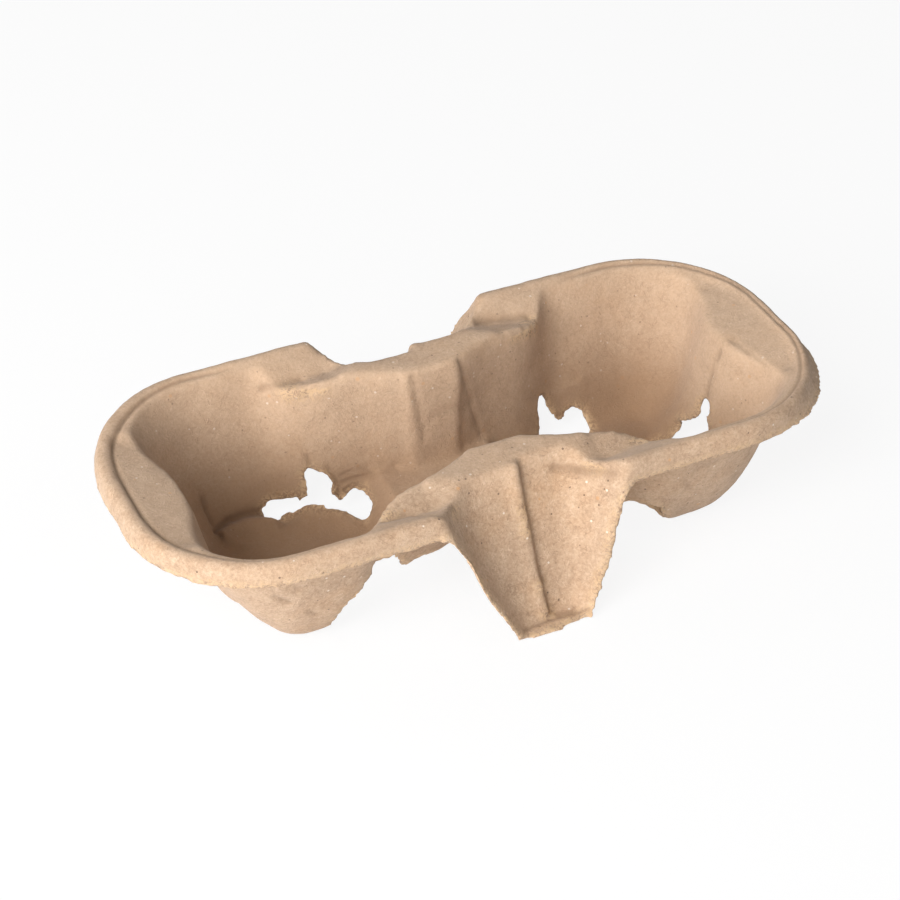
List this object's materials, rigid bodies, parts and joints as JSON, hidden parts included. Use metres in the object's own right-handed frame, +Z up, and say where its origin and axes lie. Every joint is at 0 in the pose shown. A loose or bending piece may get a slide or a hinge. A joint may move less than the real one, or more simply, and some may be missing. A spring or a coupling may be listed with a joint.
{
  "type": "moulded pulp two-cup carrier",
  "caption": "Moulded pulp tray with a rolled rim, drafted cup wells joined by a channel, saddles between them and standing tongues at the waist.",
  "frame": {"origin": "middle of the footprint, on the surface the feet stand on", "axes": "+X along the tray from well to well, +Y across it, +Z up"},
  "size_m": [0.2184, 0.11, 0.047],
  "materials": {
    "pulp": "dry brown recycled paper pulp, matt, speckled with fibres, with paler torn edges"
  },
  "bodies": {
    "root": {"carrier": "pulp"}
  },
  "joints": []
}
